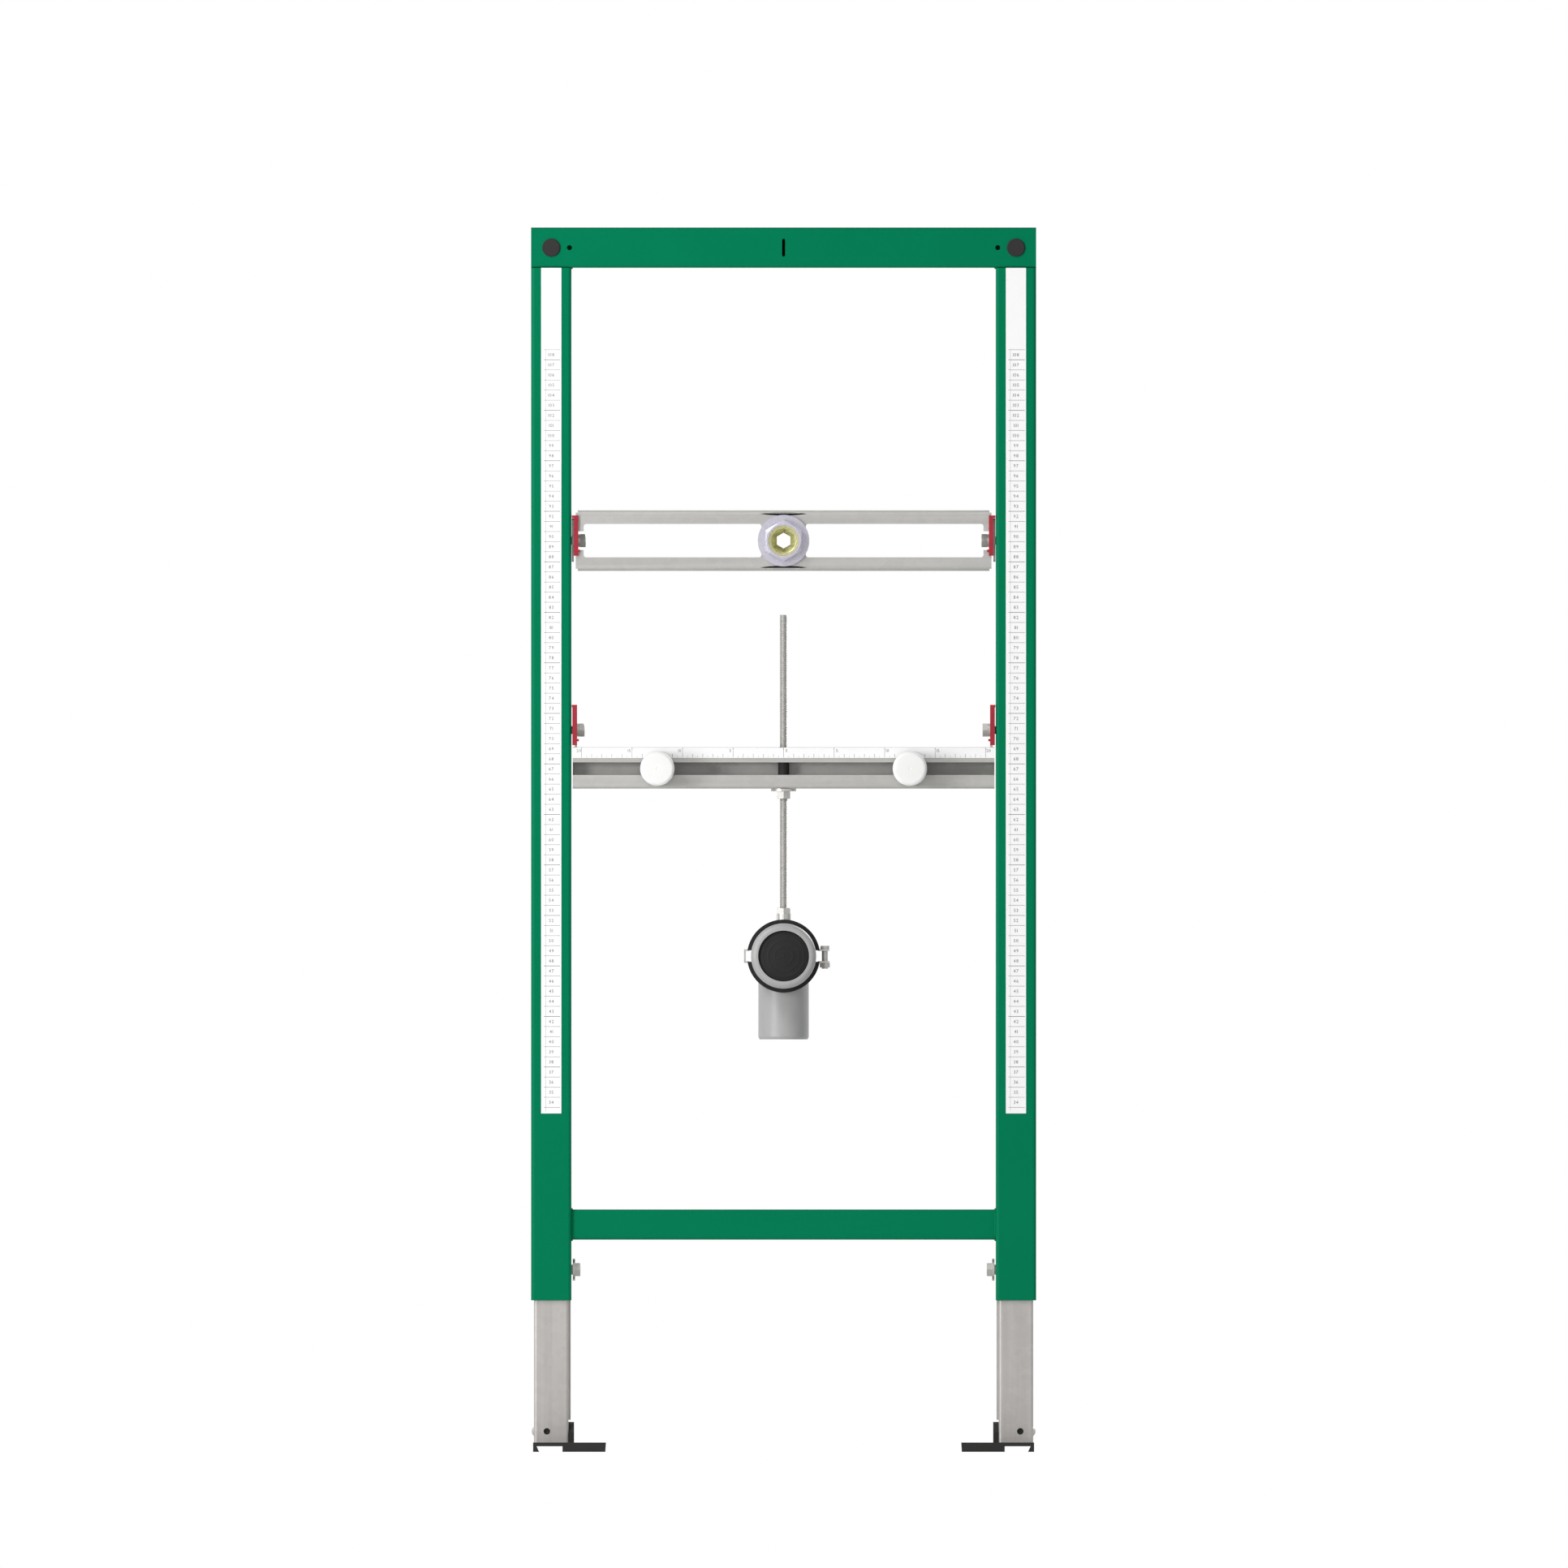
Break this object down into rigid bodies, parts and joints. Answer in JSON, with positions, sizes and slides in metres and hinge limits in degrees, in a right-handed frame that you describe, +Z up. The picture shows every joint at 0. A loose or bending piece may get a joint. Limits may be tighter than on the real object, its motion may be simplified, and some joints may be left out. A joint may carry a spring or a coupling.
{
  "type": "urinal installation frame",
  "caption": "Free-standing steel pre-wall frame with telescopic legs, inlet rail, C-rail with capped fixing studs and a clamped waste elbow.",
  "frame": {"origin": "on the floor, midway between the posts and between the fronts and backs of the feet", "axes": "+Z up, -Y to the front where the urinal hangs, +X to the right seen from the front"},
  "size_m": [0.5, 0.13, 1.212],
  "materials": {
    "green_paint": "satin powder coat",
    "galvanised_tube": "galvanised",
    "galvanised_sheet": "galvanised",
    "zinc_bolts": "zinc plated",
    "nickel_nut": "nickel plated",
    "brass": "bare brass",
    "black_plastic": "moulded",
    "white_plastic": "moulded",
    "scale_film": "printed film",
    "red_plastic": "moulded",
    "grey_plastic": "moulded",
    "black_rubber": "moulded"
  },
  "bodies": {
    "frame": {"top_bar": "green_paint", "left_post": "green_paint", "right_post": "green_paint", "bottom_bar": "green_paint", "left_wall_plug": "black_plastic", "right_wall_plug": "black_plastic", "left_scale": "scale_film", "right_scale": "scale_film", "left_leg_bolt": "zinc_bolts", "right_leg_bolt": "zinc_bolts", "left_leg_nut": "zinc_bolts", "right_leg_nut": "zinc_bolts"},
    "left_leg_unit": {"left_leg": "galvanised_tube", "left_foot": "black_plastic", "left_foot_bolt": "zinc_bolts"},
    "right_leg_unit": {"right_leg": "galvanised_tube", "right_foot": "black_plastic", "right_foot_bolt": "zinc_bolts"},
    "upper_rail_unit": {"upper_rail": "galvanised_sheet", "upper_left_clip": "red_plastic", "upper_right_clip": "red_plastic", "upper_slide_plates": "galvanised_sheet", "upper_bolts": "zinc_bolts", "upper_slot_nuts": "zinc_bolts", "inlet_nut": "nickel_nut", "inlet_body": "brass", "inlet_pad": "black_rubber"},
    "lower_rail_unit": {"lower_rail": "galvanised_sheet", "lower_scale": "scale_film", "lower_left_clip": "red_plastic", "lower_right_clip": "red_plastic", "lower_bolts": "zinc_bolts", "lower_slot_nuts": "zinc_bolts", "rod_sleeve": "black_plastic", "rod_nut": "zinc_bolts"},
    "left_stud_unit": {"left_stud": "zinc_bolts", "left_stud_cap": "white_plastic"},
    "right_stud_unit": {"right_stud": "zinc_bolts", "right_stud_cap": "white_plastic"},
    "waste_unit": {"threaded_rod": "zinc_bolts", "pipe_clamp": "zinc_bolts", "clamp_lining": "black_rubber", "clamp_screw": "zinc_bolts", "waste_elbow": "grey_plastic", "elbow_seal": "black_rubber"}
  },
  "joints": [
    {"name": "left_leg_slide", "type": "slide", "parent": "frame", "child": "left_leg_unit", "axis": [0, 0, -1], "range_m": [-0.11, 0.06]},
    {"name": "right_leg_slide", "type": "slide", "parent": "frame", "child": "right_leg_unit", "axis": [0, 0, -1], "range_m": [-0.11, 0.06]},
    {"name": "upper_rail_slide", "type": "slide", "parent": "frame", "child": "upper_rail_unit", "axis": [0, 0, 1], "range_m": [-0.01, 0.16]},
    {"name": "lower_rail_slide", "type": "slide", "parent": "frame", "child": "lower_rail_unit", "axis": [0, 0, 1], "range_m": [-0.1, 0.012]},
    {"name": "waste_slide", "type": "slide", "parent": "lower_rail_unit", "child": "waste_unit", "axis": [0, 0, 1], "range_m": [-0.045, 0.01]},
    {"name": "left_stud_slide", "type": "slide", "parent": "lower_rail_unit", "child": "left_stud_unit", "axis": [-1, 0, 0], "range_m": [-0.045, 0.045]},
    {"name": "right_stud_slide", "type": "slide", "parent": "lower_rail_unit", "child": "right_stud_unit", "axis": [1, 0, 0], "range_m": [-0.045, 0.045]}
  ]
}
